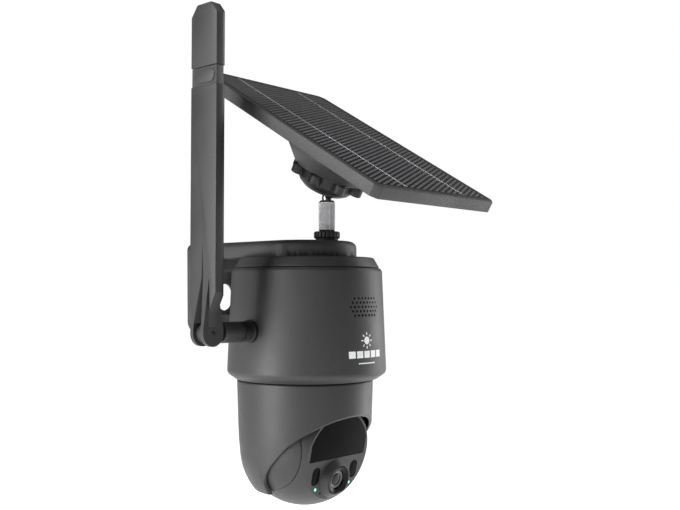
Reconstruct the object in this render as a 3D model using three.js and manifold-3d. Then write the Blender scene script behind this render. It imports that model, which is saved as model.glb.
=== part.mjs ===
// Solar powered pan-and-tilt security camera on a wall bracket.
// Millimetres, +Z up, front of the camera towards -Y, wall plane at Y = 0.
import * as THREE from 'three';
import { mergeVertices } from 'three/addons/utils/BufferGeometryUtils.js';
import Module from 'manifold-3d';

const wasm = await Module();
wasm.setup();

// ---------------------------------------------------------------- dimensions
const GAP = 0.3;                 // clearance between touching pieces
const TURN = Math.PI / 180;

const DRUM_Y = -86;              // axis of the upper housing
const LID_TOP_R = 45.4;
const LID_RIM_R = 49.4;
const LID_H = 7;
const DRUM_TOP_R = 51.2;
const DRUM_BASE_R = 54;
const DRUM_BOTTOM = -81.2;
const WALL_T = 2.5;

const PLATE_HALF = 34.5;         // wall plate
const PLATE_T = 9;
const PLATE_LOW = -52.2;
const ARM_TOP = 11.1;
const ARM_NOSE_R = 33.8;
const SLOT_W = 15.2;
const SLOT_LOW = -36.9;
const SLOT_HIGH = -17.2;

const PAN_Y = -84.4;             // pan axis and centre of the tilting ball
const BALL_Z = -123.8;
const BALL_R = 42.4;
const BAND_HALF = 31.9;          // half width of the tilting band
const HOUSING_TOP = -81.7;
const HOUSING_TOP_R = 46.2;
const HOUSING_R = 44;
const HOUSING_DOME_Z = -127.2;
const PITCH = 12.5 * TURN;       // the camera looks this far below the horizon

const GEAR_MODULE = 0.8;
const PAN_TEETH = 40;
const TILT_TEETH = 36;
const PINION_TEETH = 12;
const PAN_PINION_X = GEAR_MODULE * (PAN_TEETH + PINION_TEETH) / 2;
const TILT_PINION_Z = GEAR_MODULE * (TILT_TEETH + PINION_TEETH) / 2;

const AERIAL_Z = -48.2;          // aerial barrel axis, along X
const AERIAL_X = -88.4;          // hinge pin of the aerial blade
const BLADE_W = 24;
const BLADE_T = 7.6;
const BLADE_SEAM = 115;
const BLADE_TOP = 154.2;

const STUD_Y = -104.3;
const JOINT_BALL_Z = 53;         // centre of the ball that carries the panel
const JOINT_BALL_R = 9;
const PANEL_TILT = 30.7 * TURN;
const PANEL_L = 180;
const PANEL_W = 122;
const PANEL_T = 8;
const PANEL_TOP = 33;            // panel face above the joint ball

// ---------------------------------------------------------------- materials
const paint = (color, roughness, metalness = 0) =>
  new THREE.MeshStandardMaterial({ color, roughness, metalness });
const housingGrey = () => paint(0x3b3c3e, 0.62);
const darkGrey = () => paint(0x1c1c1e, 0.55);
const blackGloss = () => paint(0x060607, 0.12);
const steel = () => paint(0xb9bcc0, 0.28, 1);
const brassTone = () => paint(0xb08d4a, 0.35, 1);
const boardGreen = () => paint(0x1d5b33, 0.5);
const clearPlastic = () => paint(0xdfe9ec, 0.15);
const nylon = () => paint(0xd8d4c8, 0.5);
const cellBlue = () => paint(0x24508c, 0.4);

// ---------------------------------------------------------------- helpers
function solid(geometry) {
  const bare = geometry.clone();
  bare.deleteAttribute('normal');
  bare.deleteAttribute('uv');
  const merged = mergeVertices(bare, 1e-4);
  const position = merged.getAttribute('position').array;
  const index = merged.index.array;
  const kept = [];
  let volume = 0;
  for (let i = 0; i < index.length; i += 3) {
    const [a, b, c] = [index[i], index[i + 1], index[i + 2]];
    if (a === b || b === c || c === a) continue;
    kept.push(a, b, c);
    const [p, q, r] = [a, b, c].map((k) => new THREE.Vector3().fromArray(position, 3 * k));
    volume += p.dot(q.cross(r));
  }
  if (volume < 0) for (let i = 0; i < kept.length; i += 3) kept.splice(i, 2, kept[i + 1], kept[i]);
  const mesh = new wasm.Mesh({
    numProp: 3,
    vertProperties: new Float32Array(position),
    triVerts: new Uint32Array(kept),
  });
  return new wasm.Manifold(mesh);
}

function toGeometry(manifold) {
  const mesh = manifold.getMesh();
  const geometry = new THREE.BufferGeometry();
  geometry.setAttribute('position', new THREE.BufferAttribute(Float32Array.from(mesh.vertProperties), 3));
  geometry.setIndex(Array.from(mesh.triVerts));
  geometry.computeVertexNormals();
  return geometry;
}

const points = (list) => list.map(([x, y]) => new THREE.Vector2(x, y));

// profile of [radius, height] pairs turned about Z
const latheZ = (profile, sides = 24) =>
  solid(new THREE.LatheGeometry(points(profile), sides).rotateX(Math.PI / 2));

// profile of [radius, x] pairs turned about X
const latheX = (profile, sides = 24) =>
  solid(new THREE.LatheGeometry(points(profile), sides).rotateZ(-Math.PI / 2));

// profile of [radius, y] pairs turned about Y
const latheY = (profile, sides = 24) =>
  solid(new THREE.LatheGeometry(points(profile), sides));

function box([x0, x1], [y0, y1], [z0, z1]) {
  const g = new THREE.BoxGeometry(x1 - x0, y1 - y0, z1 - z0);
  return solid(g.translate((x0 + x1) / 2, (y0 + y1) / 2, (z0 + z1) / 2));
}

const rodZ = (r, z0, z1, sides = 12) => latheZ([[0, z0], [r, z0], [r, z1], [0, z1]], sides);
const rodX = (r, x0, x1, sides = 12) => latheX([[0, x0], [r, x0], [r, x1], [0, x1]], sides);
const rodY = (r, y0, y1, sides = 12) => latheY([[0, y0], [r, y0], [r, y1], [0, y1]], sides);
const tubeZ = (r0, r1, z0, z1, sides = 24) => latheZ([[r0, z0], [r1, z0], [r1, z1], [r0, z1], [r0, z0]], sides);

// a closed outline in the XY plane raised from z0 to z1
function raise(shape, z0, z1, curveSegments = 8) {
  const g = new THREE.ExtrudeGeometry(shape, { depth: z1 - z0, bevelEnabled: false, curveSegments });
  return solid(g.translate(0, 0, z0));
}

// an outline of [y, z] pairs swept along X
function sweepX(outline, x0, x1) {
  const shape = new THREE.Shape(points(outline));
  const g = new THREE.ExtrudeGeometry(shape, { depth: x1 - x0, bevelEnabled: false });
  g.applyMatrix4(new THREE.Matrix4().makeBasis(
    new THREE.Vector3(0, 1, 0), new THREE.Vector3(0, 0, 1), new THREE.Vector3(1, 0, 0)));
  return solid(g.translate(x0, 0, 0));
}

// an outline of [x, z] pairs swept along Y
function sweepY(shape, y0, y1, curveSegments = 8) {
  const g = new THREE.ExtrudeGeometry(shape, { depth: y1 - y0, bevelEnabled: false, curveSegments });
  g.applyMatrix4(new THREE.Matrix4().makeBasis(
    new THREE.Vector3(1, 0, 0), new THREE.Vector3(0, 0, 1), new THREE.Vector3(0, -1, 0)));
  return solid(g.translate(0, y1, 0));
}

function roundRect(w, h, r, cx = 0, cy = 0) {
  const s = new THREE.Shape();
  const [x, y] = [w / 2, h / 2];
  s.moveTo(cx - x + r, cy - y);
  s.lineTo(cx + x - r, cy - y);
  s.absarc(cx + x - r, cy - y + r, r, -Math.PI / 2, 0, false);
  s.lineTo(cx + x, cy + y - r);
  s.absarc(cx + x - r, cy + y - r, r, 0, Math.PI / 2, false);
  s.lineTo(cx - x + r, cy + y);
  s.absarc(cx - x + r, cy + y - r, r, Math.PI / 2, Math.PI, false);
  s.lineTo(cx - x, cy - y + r);
  s.absarc(cx - x + r, cy - y + r, r, Math.PI, 1.5 * Math.PI, false);
  return s;
}

function chamferRect(w, h, c) {
  const [x, y] = [w / 2, h / 2];
  return new THREE.Shape(points([[-x + c, -y], [x - c, -y], [x, -y + c], [x, y - c],
    [x - c, y], [-x + c, y], [-x, y - c], [-x, -y + c]]));
}

function arcPoints(radius, from, to, steps, cx = 0, cy = 0) {
  const list = [];
  for (let i = 0; i <= steps; i += 1) {
    const a = (from + ((to - from) * i) / steps) * TURN;
    list.push([cx + radius * Math.cos(a), cy + radius * Math.sin(a)]);
  }
  return list;
}

// straight-flanked spur gear outline, phase 0 puts a tooth on the +X side
function gearShape(teeth, phase = 0) {
  const pitch = (GEAR_MODULE * teeth) / 2;
  const [tip, root] = [pitch + 0.72 * GEAR_MODULE, pitch - 1.0 * GEAR_MODULE];
  const step = (2 * Math.PI) / teeth;
  const list = [];
  for (let i = 0; i < teeth; i += 1) {
    const a = (i + phase) * step;
    for (const [r, t] of [[root, -0.33], [tip, -0.1], [tip, 0.1], [root, 0.33]]) {
      list.push([r * Math.cos(a + t * step), r * Math.sin(a + t * step)]);
    }
  }
  return new THREE.Shape(points(list));
}

const camera = new THREE.Group();
camera.name = 'solar_security_camera';

function add(parent, name, manifold, material) {
  const mesh = new THREE.Mesh(toGeometry(manifold), material);
  mesh.name = name;
  parent.add(mesh);
  return mesh;
}

// ---------------------------------------------------------------- wall bracket
const armOutline = new THREE.Shape();
armOutline.moveTo(PLATE_HALF, -PLATE_T + 4);
armOutline.lineTo(-PLATE_HALF, -PLATE_T + 4);
armOutline.lineTo(-ARM_NOSE_R, DRUM_Y);
armOutline.absarc(0, DRUM_Y, ARM_NOSE_R, Math.PI, 2 * Math.PI, false);
const arm = raise(armOutline, GAP, ARM_TOP, 16);

const plateHeight = ARM_TOP - PLATE_LOW;
const plateOutline = roundRect(2 * PLATE_HALF, plateHeight, 7, 0, PLATE_LOW + plateHeight / 2);
const plate = sweepY(plateOutline, -PLATE_T, 0, 5);
const recess = sweepY(roundRect(30, 31.3, 3, 0, -24.05), -PLATE_T - 1, -2.5, 3);
const keySlot = sweepY(roundRect(SLOT_W, SLOT_HIGH - SLOT_LOW, SLOT_W / 2 - 0.01, 0, (SLOT_HIGH + SLOT_LOW) / 2),
  -PLATE_T - 1, 1, 6);
let bracket = plate.add(arm).subtract(recess).subtract(keySlot);
for (const x of [-24, 24]) {
  for (const z of [-4.2, -44.2]) {
    bracket = bracket.subtract(rodY(2.3, -PLATE_T - 1, 1, 12).translate([x, 0, z]));
  }
}
bracket = bracket.subtract(rodZ(3.3, -1, ARM_TOP + 1, 16).translate([0, STUD_Y, 0]));
const ARM_SCREWS = [[-18, -74], [18, -74], [-12, -100], [12, -100]];
for (const [x, y] of ARM_SCREWS) {
  bracket = bracket.subtract(rodZ(1.8, -1, 6.3, 10).translate([x, y, 0]));
}
add(camera, 'wall_bracket', bracket, housingGrey());

// ---------------------------------------------------------------- upper housing
const drum = new THREE.Group();
drum.position.y = DRUM_Y;
camera.add(drum);

let lid = latheZ([[0, 0], [LID_TOP_R, 0], [LID_RIM_R, -LID_H], [46.5, -LID_H], [46.5, -11], [44, -11],
  [44, -3], [0, -3]], 40);
ARM_SCREWS.forEach(([x, y], i) => {
  const at = [x, y - DRUM_Y, 0];
  lid = lid.subtract(rodZ(1.8, -4, 1, 10).translate(at));
  const screw = rodZ(1.5, -3.6, 6, 10).add(rodZ(3, -5.6, -3.4, 10));
  add(drum, `arm_screw_${i + 1}`, screw.translate(at), steel());
});
add(drum, 'lid', lid, housingGrey());
add(drum, 'lid_gasket', tubeZ(47, 48.6, -8.5, -LID_H - GAP, 32), darkGrey());

let shell = latheZ([[46.8, -11.5], [46.8, -8.8], [48.9, -8.8], [48.9, -7.3], [50, -7.3], [51, -8],
  [DRUM_TOP_R, -9], [DRUM_BASE_R, -77.1], [53, -79.6], [50.8, -80.9], [48, DRUM_BOTTOM], [46.6, DRUM_BOTTOM],
  [46.6, -79], [DRUM_BASE_R - WALL_T - 0.2, -79], [DRUM_TOP_R - WALL_T, -11.5], [46.8, -11.5]], 40);
const GRILLE_ROWS = [7, 8, 9, 8, 7];
GRILLE_ROWS.forEach((count, row) => {
  for (let i = 0; i < count; i += 1) {
    const angle = (i - (count - 1) / 2) * 3.52;
    const hole = rodY(0.9, -60, -46, 4).translate([0, 0, -32.6 + (2 - row) * 2.74]);
    shell = shell.subtract(hole.rotate([0, 0, angle]));
  }
});
const bayPad = box([47.6, 51.6], [-13, 13], [-72, -42]);
shell = shell.add(bayPad.intersect(rodZ(52, -90, 0, 40)));
shell = shell.subtract(box([51, 60], [-11, 11], [-70.5, -43.5]));
shell = shell.subtract(box([46, 60], [-5, 5], [-65, -61]));
shell = shell.subtract(rodX(3.6, 46, 60, 12).translate([0, 0, -50]));
shell = shell.subtract(rodX(5.4, -60, -46, 16).translate([0, 0, AERIAL_Z]));
add(drum, 'drum_shell', shell, housingGrey());

const pan = new THREE.Group();
pan.position.y = PAN_Y;
camera.add(pan);
const panShift = PAN_Y - DRUM_Y;

add(drum, 'drum_floor', rodZ(50.4, -78.7, -76, 32).subtract(rodZ(13.6, -80, -74, 20).translate([0, panShift, 0])),
  darkGrey());
add(pan, 'pan_bearing', tubeZ(9.9, 13, -78.6, -76.1, 20), steel());

for (let i = 0; i < 3; i += 1) {
  const a = (59 + 31 * i) * TURN;
  const cell = rodZ(9.1, -72.7, -9.2, 14).add(rodZ(2.6, -9.4, -8.2, 8));
  add(drum, `battery_cell_${i + 1}`, cell.translate([34.6 * Math.cos(a), 34.6 * Math.sin(a), 0]), cellBlue());
}
add(drum, 'battery_tray', box([-25, 25], [26, 42], [-75.6, -73]), darkGrey());
add(drum, 'main_board', box([-31, 31], [-35, -33.4], [-70, -14]), boardGreen());
add(drum, 'speaker', latheY([[0, -45], [17, -45], [17.5, -43], [17.5, -41], [9, -37.5], [9, -36], [0, -36]], 20)
  .translate([0, 0, -32.6]), darkGrey());
add(drum, 'usb_socket', box([40, 47.2], [-4.6, 4.6], [-64.8, -61.2]), steel());

const jack = latheX([[0, -64], [5, -64], [5, -61.9], [6.6, -61.9], [6.6, -55.2], [7.4, -54.6], [7.4, -53.4],
  [5, -53.4], [5, -47.5], [0, -47.5]], 20).add(rodX(2.8, -70, -63, 10));
add(drum, 'antenna_jack', jack.translate([0, 0, AERIAL_Z]), darkGrey());

// ---------------------------------------------------------------- pan drive
const panGear = raise(gearShape(PAN_TEETH), -75.6, -72.6).add(rodZ(9.4, -81.4, -75, 20))
  .subtract(rodZ(6, -83, -70, 12));
add(pan, 'pan_gear', panGear, nylon());
const panPinion = raise(gearShape(PINION_TEETH, 0.5), -75.6, -72.6).add(rodZ(2, -73, -67, 12));
add(pan, 'pan_pinion', panPinion.translate([PAN_PINION_X, 0, 0]), brassTone());
const panMotor = rodZ(14, -70, -52, 20).subtract(rodZ(2.4, -71, -66, 12));
add(pan, 'pan_motor', panMotor.translate([PAN_PINION_X, 0, 0]), steel());

// ---------------------------------------------------------------- turning housing
const domeAngles = [-9, -20, -30, -39.2];
const dome = domeAngles.map((a) => [HOUSING_R * Math.cos(a * TURN), HOUSING_DOME_Z + HOUSING_R * Math.sin(a * TURN)]);
const housingProfile = [[0, HOUSING_TOP], [45.4, HOUSING_TOP], [HOUSING_TOP_R, HOUSING_TOP - 1.2], [45.2, -112],
  [44.6, -127.2], ...dome, [0, -155]];
let housing = latheZ(housingProfile, 40);
housing = housing.subtract(sweepX([[-60, -101.7], [-47.6, -101.7], [-31.6, -113.1], [-21.6, -121.2],
  [-13.3, -130.2], [-7.4, -136.7], [-1.5, -144.9], [-0.5, -150], [-0.5, -190], [-60, -190]], -60, 60));
const cavity = latheZ([[0, HOUSING_TOP - 3], [42.6, HOUSING_TOP - 3], ...arcPoints(43.5, 0, -90, 8, 0, BALL_Z)], 40);
housing = housing.subtract(cavity);
housing = housing.subtract(rodZ(6, -90, -80, 12));
add(pan, 'pan_housing', housing, housingGrey());

for (const [side, s] of [['left', -1], ['right', 1]]) {
  const cap = latheX([[5, s * 32.2], ...arcPoints(BALL_R, s * 49.42, s * 78, 3), [5, s * 41.6], [5, s * 38.5],
    [14, s * 38.5], [14, s * 35.5], [5, s * 35.5], [5, s * 32.2]], 28);
  add(pan, `side_cap_${side}`, cap.translate([0, 0, BALL_Z]), housingGrey());
  const bush = latheX([[4.9, s * 35.8], [8, s * 35.8], [8, s * 38.2], [4.9, s * 38.2], [4.9, s * 35.8]], 16);
  add(pan, `tilt_bush_${side}`, bush.translate([0, 0, BALL_Z]), nylon());
}

const motorZ = BALL_Z + TILT_PINION_Z;
add(pan, 'tilt_motor', rodX(11, 7, 22.6, 18).subtract(rodX(2.1, 18, 25, 12)).translate([0, 0, motorZ]), steel());
const motorBracket = box([3.6, 22.6], [-9, 9], [-93.2, -90.4]).add(box([3.6, 6.6], [-9, 9], [-112, -91]))
  .add(box([3.6, 22.6], [-5, 5], [-91, -85]));
add(pan, 'tilt_motor_bracket', motorBracket, steel());
const tiltPinion = raise(gearShape(PINION_TEETH, 0.5), 25, 28.2).add(rodZ(1.8, 19, 26, 12));
const toX = (m) => m.rotate([0, 90, 0]);
add(pan, 'tilt_pinion', toX(tiltPinion).translate([0, 0, motorZ]), brassTone());

// ---------------------------------------------------------------- tilting head
const head = new THREE.Group();
head.position.set(0, PAN_Y, BALL_Z);
head.rotation.x = PITCH;
camera.add(head);

const edgeAngle = Math.asin(BAND_HALF / BALL_R) / TURN;
const outerArc = arcPoints(BALL_R, -edgeAngle, edgeAngle, 8);
const innerR = BALL_R - 2.4;
const innerEdge = Math.asin((BAND_HALF - 2) / innerR) / TURN;
const innerArc = arcPoints(innerR, innerEdge, -innerEdge, 6);
const bandProfile = [...outerArc, ...innerArc, outerArc[0]];
const band = latheX(bandProfile, 40);

// sector of the head between two angles, measured up from the forward direction
function sector(from, to, radius = 60) {
  const rim = arcPoints(radius, from, to, 6).map(([a, b]) => [-a, b]);
  return sweepX([[0, 0], ...rim], -50, 50);
}

// [x, z] outline cut straight back into the face of the head
const faceCut = (shape, y0, y1, segments = 8) => sweepY(shape, y0, y1, segments);

// a circle with its lower part cut off by a straight edge
function windowOutline(inset) {
  const rim = arcPoints(28.4 - inset, 18.5, 161.5, 16);
  return new THREE.Shape(points([[-26.6 + inset, -1.9 + inset], [26.6 - inset, -1.9 + inset], ...rim]));
}

const FACE_Y = -30.3;
const FACE_BACK = -28;
const LENS_Z = -15.8;
const LED_X = 18.3;
const LED_Z = -12;
const STATUS_X = 16.4;
const STATUS_Z = -21.2;

const ball = latheX(arcPoints(BALL_R, -90, 90, 14), 40);
const hoodLimit = latheX(arcPoints(BALL_R + 0.2, -90, 90, 14), 40);
const lensHood = latheY([[0, -34.9], [10.3, -34.9], [10.9, -34.3], [14, -29], [0, -29]], 24).translate([0, 0, LENS_Z]);
let front = band.intersect(sector(62, -75));
front = front.subtract(box([-50, 50], [-60, FACE_Y], [-50, 50]));
front = front.add(ball.intersect(box([-BAND_HALF, BAND_HALF], [FACE_Y, FACE_BACK], [-50, 50])));
front = front.add(lensHood.intersect(hoodLimit));
front = front.subtract(faceCut(windowOutline(0), -60, -20));
front = front.subtract(rodY(9.6, -60, -20, 24).translate([0, 0, LENS_Z]));
for (const s of [-1, 1]) {
  front = front.subtract(faceCut(roundRect(7.4, 12.2, 3.6, s * LED_X, LED_Z), -60, -20, 4));
  front = front.subtract(rodY(1.5, -60, -20, 10).translate([s * STATUS_X, 0, STATUS_Z]));
}
front = front.subtract(rodY(0.7, -60, -20, 6).translate([-11.6, 0, -24.5]));
add(head, 'head_front_shell', front, housingGrey());
add(head, 'head_rear_shell', band.intersect(sector(-75.5, -140)), housingGrey());

add(head, 'head_window', faceCut(windowOutline(GAP), FACE_Y + 0.1, FACE_BACK - 0.2), blackGloss());

const lensAt = [0, 0, LENS_Z];
add(head, 'lens_ring', latheY([[6, -33.6], [9, -34.6], [9.3, -34.3], [9.3, -28.8], [6, -28.8], [6, -33.6]], 24)
  .translate(lensAt), blackGloss());
add(head, 'lens_barrel', latheY([[0, -31.3], [5.8, -31.3], [5.8, -28.4], [7.5, -28.4], [7.5, -16], [0, -16]], 16)
  .translate(lensAt), darkGrey());
add(head, 'lens_glass', latheY([[0, -34], [2.4, -33.8], [4.4, -33.2], [5.6, -32.4], [5.6, -31.6], [0, -31.6]], 16)
  .translate(lensAt), clearPlastic());
add(head, 'sensor_board', box([-17, 17], [-15.6, -14], [-26, -6]), boardGreen());
for (const [side, s] of [['left', -1], ['right', 1]]) {
  const led = faceCut(roundRect(6.9, 11.7, 3.4, s * LED_X, LED_Z), FACE_Y + 0.2, FACE_BACK - 0.2, 4);
  add(head, `led_lens_${side}`, led, blackGloss());
  const status = rodY(1.2, -30.6, -26, 10).translate([s * STATUS_X, 0, STATUS_Z]);
  add(head, `status_led_${side}`, status, clearPlastic());
  const [a, b] = [Math.min(s * 28.6, s * 30.8), Math.max(s * 28.6, s * 30.8)];
  const disc = rodX(24.6, a, b, 24).add(rodX(4.6, Math.min(s * 28.6, s * 38), Math.max(s * 28.6, s * 38), 14));
  add(head, `trunnion_${side}`, disc, darkGrey());
}
const tiltGear = raise(gearShape(TILT_TEETH), 25, 28.2).subtract(rodZ(3, 20, 30, 16));
add(head, 'tilt_gear', toX(tiltGear).rotate([-PITCH / TURN, 0, 0]), nylon());

// ---------------------------------------------------------------- aerial
const aerial = new THREE.Group();
aerial.position.set(AERIAL_X, DRUM_Y, AERIAL_Z);
camera.add(aerial);

const bladeX = BLADE_T / 2;
const half = BLADE_W / 2;
const seam = BLADE_SEAM - AERIAL_Z;
const EAR_R = 8;
const EAR_HALF = 6.1;
const SLOT_HALF = 3.3;

const barrel = latheX([[0, 10.6], [6, 10.6], [6.55, 11.2], [6.55, 26.2], [5.3, 26.2], [5.3, 24], [3.1, 24],
  [3.1, 18], [0, 18]], 18);
const tongue = rodY(6, -3, 3, 16).add(box([0, 11.4], [-3, 3], [-5, 5])).subtract(rodY(1.8, -4, 4, 8));
add(aerial, 'antenna_sleeve', barrel.add(tongue), housingGrey());

const bladeOutline = [[-half, seam], [-half, 10.6], [-EAR_HALF, 5], [-EAR_HALF, 0], [EAR_HALF, 0], [EAR_HALF, 5],
  [half, 10.6], [half, seam]];
const knuckle = new THREE.Shape(points([[-bladeX, 34], [-EAR_R, 2.5], [-EAR_R, 0], [EAR_R, 0], [EAR_R, 2.5],
  [bladeX, 24]]));
let blade = sweepX(bladeOutline, -bladeX, bladeX);
blade = blade.add(sweepY(knuckle, -EAR_HALF, EAR_HALF)).add(rodY(EAR_R, -EAR_HALF, EAR_HALF, 24));
blade = blade.subtract(box([-12, 12], [-SLOT_HALF, SLOT_HALF], [-12, 6.4])).subtract(rodY(1.8, -9, 9, 8));
add(aerial, 'antenna_blade', blade, housingGrey());

const top = BLADE_TOP - AERIAL_Z;
const capOutline = [[-half, seam + GAP], [-half, top - 7], [-half + 5.5, top], [half - 5.5, top], [half, top - 7],
  [half, seam + GAP]];
add(aerial, 'antenna_cap', sweepX(capOutline, -bladeX, bladeX), housingGrey());
add(aerial, 'antenna_pin', rodY(1.5, -EAR_HALF, EAR_HALF, 8), steel());

// ---------------------------------------------------------------- panel stud and ball joint
const stud = new THREE.Group();
stud.position.y = STUD_Y;
camera.add(stud);

const studBody = latheZ([[0, 1.3], [3, 1.3], [3, 17.7], [5.45, 17.7], [5.45, 37], [4.3, 38.3], [3.4, 38.4],
  [3.4, 40.5], [2.4, 44.2], [2.4, 46], [0, 46]], 18);
const jointBall = latheZ(arcPoints(JOINT_BALL_R, -90, 90, 10, 0, JOINT_BALL_Z), 18);
add(stud, 'panel_stud', studBody.add(jointBall), steel());

const nut = latheZ([[3.3, 11.4], [7.5, 11.4], [7.5, 12.6], [8.2, 12.6], [8.75, 13.2], [8.75, 16.7], [8.2, 17.3],
  [3.3, 17.3], [3.3, 11.4]], 20);
add(stud, 'lock_nut', nut, darkGrey());

const panel = new THREE.Group();
panel.position.set(0, STUD_Y, JOINT_BALL_Z);
panel.rotation.x = PANEL_TILT;
camera.add(panel);

add(panel, 'ball_seat', latheZ([...arcPoints(11.5, -5, 62, 4), ...arcPoints(9.4, 62, -5, 4),
  [11.5 * Math.cos(5 * TURN), -11.5 * Math.sin(5 * TURN)]], 18), nylon());

const boss = latheZ([[0, 24.7], [38, 24.7], [38, 22], [33.7, 15], [25, 5], [15.5, 5], [15.5, 0.5], [0, 0.5]], 32)
  .subtract(latheZ(arcPoints(12.1, -90, 90, 10), 18));
add(panel, 'panel_boss', boss, housingGrey());

let clamp = latheZ([[15.8, 4.7], [20, 4.7], [20, -2], [17.5, -5.5], [13.2, -8.2], [12, -8.2], [8.3, -4.3],
  [8.3, -3.8], [11.5, -3.8], [12, -2], [12.2, 0.2], [15.8, 0.2], [15.8, 4.7]], 28);
for (let i = 0; i < 8; i += 1) {
  const a = (22.5 + 45 * i) * TURN;
  clamp = clamp.add(rodZ(4, -1.6, 4.7, 10).translate([22.6 * Math.cos(a), 22.6 * Math.sin(a), 0]));
}
add(panel, 'clamp_ring', clamp, darkGrey());

const back = PANEL_TOP - PANEL_T;
const frame = raise(chamferRect(PANEL_W, PANEL_L, 4), back, PANEL_TOP)
  .subtract(raise(roundRect(PANEL_W - 8, PANEL_L - 8, 2), PANEL_TOP - 1.6, PANEL_TOP + 2, 2))
  .subtract(raise(roundRect(PANEL_W - 20, PANEL_L - 20, 3), back - 1, PANEL_TOP + 2, 2))
  .subtract(raise(roundRect(PANEL_W - 12, PANEL_L - 12, 3), back - 1, back + 2.6, 2));
add(panel, 'panel_frame', frame, housingGrey());
add(panel, 'panel_back_plate', raise(roundRect(PANEL_W - 12.6, PANEL_L - 12.6, 2.7), back, back + 2.3, 2), darkGrey());
add(panel, 'solar_laminate', raise(roundRect(PANEL_W - 8.6, PANEL_L - 8.6, 1.7), PANEL_TOP - 1.3, PANEL_TOP, 2),
  paint(0x15161c, 0.2));

// ---------------------------------------------------------------- service bay on the right side
const coverPlate = box([51.3, 52.9], [-7, 7], [-68.5, -58.5]).add(box([50.2, 51.5], [-4.5, 4.5], [-64.6, -61.4]));
add(drum, 'port_cover', coverPlate, darkGrey());
const button = rodX(3.2, 46.4, 51.9, 12).add(rodX(4.4, 45.6, 47.2, 10));
add(drum, 'power_button', button.translate([0, 0, -50]), darkGrey());

export default camera;
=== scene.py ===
import math

import bmesh
import bpy
from mathutils import Matrix, Vector


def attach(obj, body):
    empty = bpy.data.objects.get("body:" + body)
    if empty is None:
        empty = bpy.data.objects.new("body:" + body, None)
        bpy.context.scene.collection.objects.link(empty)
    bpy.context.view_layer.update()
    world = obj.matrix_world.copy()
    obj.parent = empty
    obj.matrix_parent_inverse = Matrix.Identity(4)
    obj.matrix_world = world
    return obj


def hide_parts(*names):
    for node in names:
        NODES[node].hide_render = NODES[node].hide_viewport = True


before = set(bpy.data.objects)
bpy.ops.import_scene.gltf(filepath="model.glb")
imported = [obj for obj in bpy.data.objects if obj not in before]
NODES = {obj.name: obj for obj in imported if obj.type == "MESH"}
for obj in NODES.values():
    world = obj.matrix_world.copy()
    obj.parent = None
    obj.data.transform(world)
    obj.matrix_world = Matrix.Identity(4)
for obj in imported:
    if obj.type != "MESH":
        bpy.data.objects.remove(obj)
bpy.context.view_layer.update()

TAU = 2 * math.pi
RAD = math.radians

# ------------------------------------------------------------------ driving sizes (mm and degrees)
DRUM_Y, PAN_Y, STUD_Y = -86, -84.4, -104.3     # upright axes in front of the wall
BALL_Z, HEAD_DROOP = -123.8, 12.5              # tilt axis of the head, and how far it looks down at rest
AERIAL_X, AERIAL_Z = -88.4, -48.2              # hinge pin of the aerial
JOINT_Z, PANEL_TILT = 53, 30.7                 # ball joint of the panel, and its slope at rest
ARM_HALF, ARM_R = 34.5, 33.8                   # bracket arm: half width at the wall, round end
ARM_LOW, ARM_TOP, ARM_ROUND = 0.3, 11.1, 4.7
SHELL_TOP, SHELL_LOW = (51.2, -9.2), (54, -77.1)   # upper housing wall: radius and height
BALL_R, BAND_HALF, BALL_WALL = 42.4, 31.9, 2.4
FACE, FACE_BACK = -30.3, -28.0                 # flat front of the head
LED_X, LED_Z, STATUS_X, STATUS_Z, LENS_Z = 18.3, -12, 16.4, -21.2, -15.8
BLADE_HALF, BLADE_THIN = 12, 3.8               # aerial blade: half width, half thickness
FORK_HALF, FORK_TOP, PIN_R = 3.3, 6.4, 1.6     # slot and bore of the aerial hinge
BALL_JOINT_R = 9
PANEL_W, PANEL_L, PANEL_LOW, PANEL_TOP = 122, 180, 25, 33
CELLS_HALF_W, CELLS_HALF_L, RIBBON_X = 55.2, 84.8, 29.5
STRIPE_PITCH, STRIPE_SLANT = 3.0, 28.5

# ------------------------------------------------------------------ placement of the sub-assemblies
DRUM = Matrix.Translation((0, DRUM_Y, 0))
PAN = Matrix.Translation((0, PAN_Y, 0))
BALL = Matrix.Translation((0, PAN_Y, BALL_Z))
HEAD = BALL @ Matrix.Rotation(RAD(HEAD_DROOP), 4, "X")
AERIAL = Matrix.Translation((AERIAL_X, DRUM_Y, AERIAL_Z))
STUD = Matrix.Translation((0, STUD_Y, 0))
PANEL = Matrix.Translation((0, STUD_Y, JOINT_Z)) @ Matrix.Rotation(RAD(PANEL_TILT), 4, "X")
HERE = Matrix.Identity(4)


# ------------------------------------------------------------------ materials
def node(tree, kind, **values):
    n = tree.nodes.new(kind)
    for key, value in values.items():
        if hasattr(n, key):
            setattr(n, key, value)
        else:
            n.inputs[key].default_value = value
    return n


def start(name):
    m = bpy.data.materials.new(name)
    m.use_nodes = True
    t = m.node_tree
    shader = t.nodes["Principled BSDF"]
    place = t.nodes.new("ShaderNodeTexCoord")
    return m, t, shader, place.outputs["Object"]


def noise(t, coord, scale, detail=3.0, rough=0.55):
    n = node(t, "ShaderNodeTexNoise", Scale=scale, Detail=detail, Roughness=rough)
    t.links.new(coord, n.inputs["Vector"])
    return n.outputs["Fac"]


def spread(t, fac, low, high, a=0.35, b=0.65):
    r = t.nodes.new("ShaderNodeMapRange")
    for key, value in (("From Min", a), ("From Max", b), ("To Min", low), ("To Max", high)):
        r.inputs[key].default_value = value
    t.links.new(fac, r.inputs["Value"])
    return r.outputs["Result"]


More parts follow.
